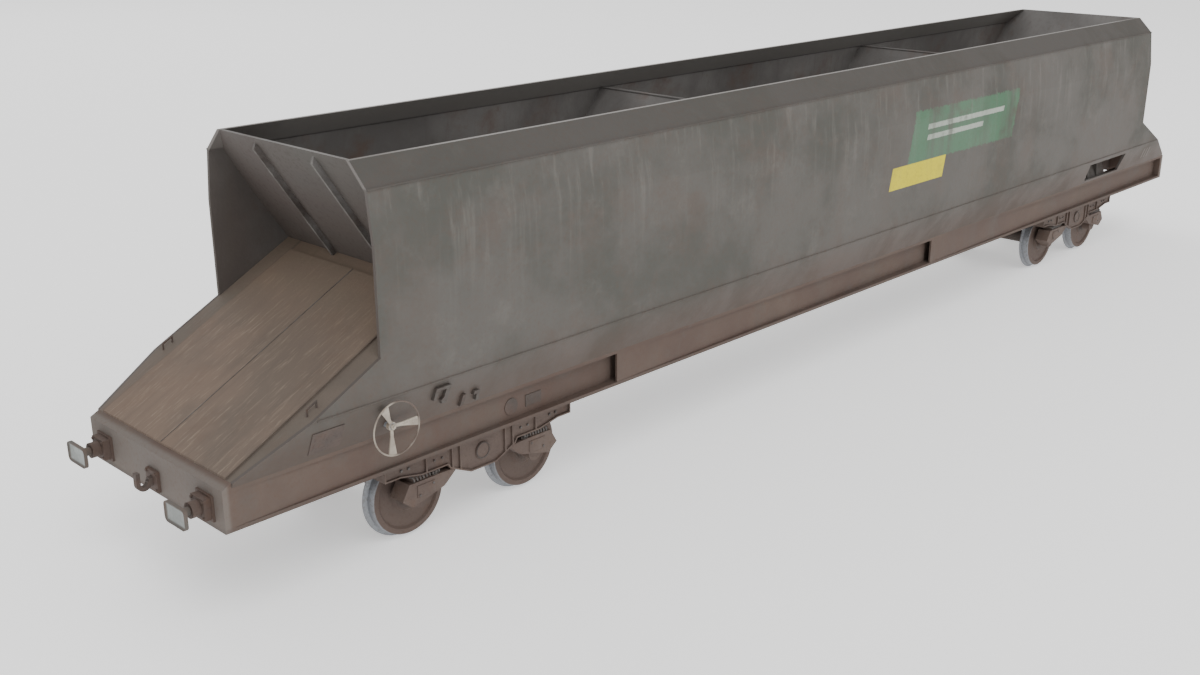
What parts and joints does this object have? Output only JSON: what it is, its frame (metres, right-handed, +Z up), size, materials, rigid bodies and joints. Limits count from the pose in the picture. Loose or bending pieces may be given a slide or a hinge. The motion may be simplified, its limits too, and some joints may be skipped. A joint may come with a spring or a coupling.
{
  "type": "model railway bogie hopper wagon",
  "caption": "Model bogie hopper wagon with sloping ends, sprung buffers, bar coupling, swivelling bogies, turning wheelsets and opening bottom doors.",
  "frame": {"origin": "centre of the footprint at the height of the wheel flange tips, midway along the wagon", "axes": "+X runs along the wagon from the buffer end to the bar-coupling end, +Y across it, +Z up"},
  "size_m": [0.445, 0.0616, 0.0882],
  "materials": {
    "side_sheet": "weathered grey-green paint, matte",
    "hopper_sheet": "dusty dark plate, matte",
    "deck": "rusty brown plate with pale streaks, matte",
    "underframe": "rust-brown weathered paint, matte",
    "sill_panel": "rust-brown weathered paint, matte",
    "buffer": "grey, worn, matte",
    "rubber": "black",
    "coupling": "dark brown, matte",
    "fitting": "weathered grey-brown, matte",
    "brake_wheel": "cream paint, dusty",
    "bogie": "grey-brown weathered paint, matte",
    "spring": "dark grey, matte",
    "axle": "dull steel",
    "wheel": "brown painted discs with worn steel treads",
    "label": "faded pale panel"
  },
  "bodies": {
    "wagon_body": {"side_sheet_left": "side_sheet", "side_sheet_right": "side_sheet", "end_sheet_near": "hopper_sheet", "end_sheet_far": "hopper_sheet", "end_ribs": "deck", "end_deck_near": "deck", "end_deck_far": "deck", "deck_plates": "deck", "ridge_near": "hopper_sheet", "ridge_far": "hopper_sheet", "chute_near": "hopper_sheet", "chute_middle": "hopper_sheet", "chute_far": "hopper_sheet", "headstock_near": "underframe", "headstock_far": "underframe", "solebar_left": "underframe", "solebar_right": "underframe", "sill_panels_left": "sill_panel", "sill_panels_right": "sill_panel", "stub_sills": "underframe", "body_bolsters": "underframe", "buffer_housings": "underframe", "buffer_rubbers": "rubber", "drawhook_plate": "underframe", "drawbar_pocket": "underframe", "drawbar_pin": "coupling", "grab_handles": "fitting", "tie_hooks": "fitting", "label_plates": "label", "end_bolts": "fitting", "door_pins": "fitting", "access_plates": "fitting"},
    "bogie_near": {"bogie_near_frame": "bogie", "bogie_near_axleboxes": "bogie", "bogie_near_springs": "spring"},
    "bogie_near_outer_wheelset": {"bogie_near_outer_axle": "axle", "bogie_near_outer_wheels": "wheel"},
    "bogie_near_inner_wheelset": {"bogie_near_inner_axle": "axle", "bogie_near_inner_wheels": "wheel"},
    "bogie_far": {"bogie_far_frame": "bogie", "bogie_far_axleboxes": "bogie", "bogie_far_springs": "spring"},
    "bogie_far_outer_wheelset": {"bogie_far_outer_axle": "axle", "bogie_far_outer_wheels": "wheel"},
    "bogie_far_inner_wheelset": {"bogie_far_inner_axle": "axle", "bogie_far_inner_wheels": "wheel"},
    "buffer_left": {"buffer_left": "buffer"},
    "buffer_right": {"buffer_right": "buffer"},
    "drawhook": {"drawhook": "coupling", "drawhook_nut": "coupling"},
    "drawbar": {"drawbar": "coupling"},
    "handbrake": {"brake_wheel_left": "brake_wheel", "brake_wheel_right": "brake_wheel", "brake_cross_shaft": "axle"},
    "door_near_left": {"door_near_left": "hopper_sheet"},
    "door_near_right": {"door_near_right": "hopper_sheet"},
    "door_middle_left": {"door_middle_left": "hopper_sheet"},
    "door_middle_right": {"door_middle_right": "hopper_sheet"},
    "door_far_left": {"door_far_left": "hopper_sheet"},
    "door_far_right": {"door_far_right": "hopper_sheet"}
  },
  "joints": [
    {"name": "bogie_near_swivel", "type": "hinge", "parent": "wagon_body", "child": "bogie_near", "pos_m": [-0.1487, 0, 0.022], "axis": [0, 0, 1], "range_deg": [-10, 10]},
    {"name": "bogie_near_outer_wheelset_spin", "type": "hinge", "parent": "bogie_near", "child": "bogie_near_outer_wheelset", "pos_m": [-0.1661, 0, 0.0106], "axis": [0, 1, 0], "continuous": true},
    {"name": "bogie_near_inner_wheelset_spin", "type": "hinge", "parent": "bogie_near", "child": "bogie_near_inner_wheelset", "pos_m": [-0.1313, 0, 0.0106], "axis": [0, 1, 0], "continuous": true},
    {"name": "bogie_far_swivel", "type": "hinge", "parent": "wagon_body", "child": "bogie_far", "pos_m": [0.1487, 0, 0.022], "axis": [0, 0, 1], "range_deg": [-10, 10]},
    {"name": "bogie_far_outer_wheelset_spin", "type": "hinge", "parent": "bogie_far", "child": "bogie_far_outer_wheelset", "pos_m": [0.1661, 0, 0.0106], "axis": [0, 1, 0], "continuous": true},
    {"name": "bogie_far_inner_wheelset_spin", "type": "hinge", "parent": "bogie_far", "child": "bogie_far_inner_wheelset", "pos_m": [0.1313, 0, 0.0106], "axis": [0, 1, 0], "continuous": true},
    {"name": "buffer_left_push", "type": "slide", "parent": "wagon_body", "child": "buffer_left", "axis": [1, 0, 0], "range_m": [0, 0.0015], "stiffness_N_per_m": 200},
    {"name": "buffer_right_push", "type": "slide", "parent": "wagon_body", "child": "buffer_right", "axis": [1, 0, 0], "range_m": [0, 0.0015], "stiffness_N_per_m": 200},
    {"name": "drawhook_pull", "type": "slide", "parent": "wagon_body", "child": "drawhook", "axis": [-1, 0, 0], "range_m": [0, 0.0012], "stiffness_N_per_m": 200},
    {"name": "drawbar_swing", "type": "hinge", "parent": "wagon_body", "child": "drawbar", "pos_m": [0.2179, 0, 0.0253], "axis": [0, 0, 1], "range_deg": [-15, 15]},
    {"name": "handbrake_turn", "type": "hinge", "parent": "wagon_body", "child": "handbrake", "pos_m": [-0.1781, 0, 0.0338], "axis": [0, 1, 0], "continuous": true},
    {"name": "door_near_left_open", "type": "hinge", "parent": "wagon_body", "child": "door_near_left", "pos_m": [-0.104, -0.0115, 0.0183], "axis": [-1, 0, 0], "range_deg": [0, 75]},
    {"name": "door_near_right_open", "type": "hinge", "parent": "wagon_body", "child": "door_near_right", "pos_m": [-0.104, 0.0115, 0.0183], "axis": [1, 0, 0], "range_deg": [0, 75]},
    {"name": "door_middle_left_open", "type": "hinge", "parent": "wagon_body", "child": "door_middle_left", "pos_m": [0.007, -0.0115, 0.0183], "axis": [-1, 0, 0], "range_deg": [0, 75]},
    {"name": "door_middle_right_open", "type": "hinge", "parent": "wagon_body", "child": "door_middle_right", "pos_m": [0.007, 0.0115, 0.0183], "axis": [1, 0, 0], "range_deg": [0, 75]},
    {"name": "door_far_left_open", "type": "hinge", "parent": "wagon_body", "child": "door_far_left", "pos_m": [0.108, -0.0115, 0.0183], "axis": [-1, 0, 0], "range_deg": [0, 75]},
    {"name": "door_far_right_open", "type": "hinge", "parent": "wagon_body", "child": "door_far_right", "pos_m": [0.108, 0.0115, 0.0183], "axis": [1, 0, 0], "range_deg": [0, 75]}
  ],
  "couplings": [
    {"joint": "door_near_right_open", "follows": "door_near_left_open", "ratio": 1},
    {"joint": "door_middle_right_open", "follows": "door_middle_left_open", "ratio": 1},
    {"joint": "door_far_right_open", "follows": "door_far_left_open", "ratio": 1}
  ]
}
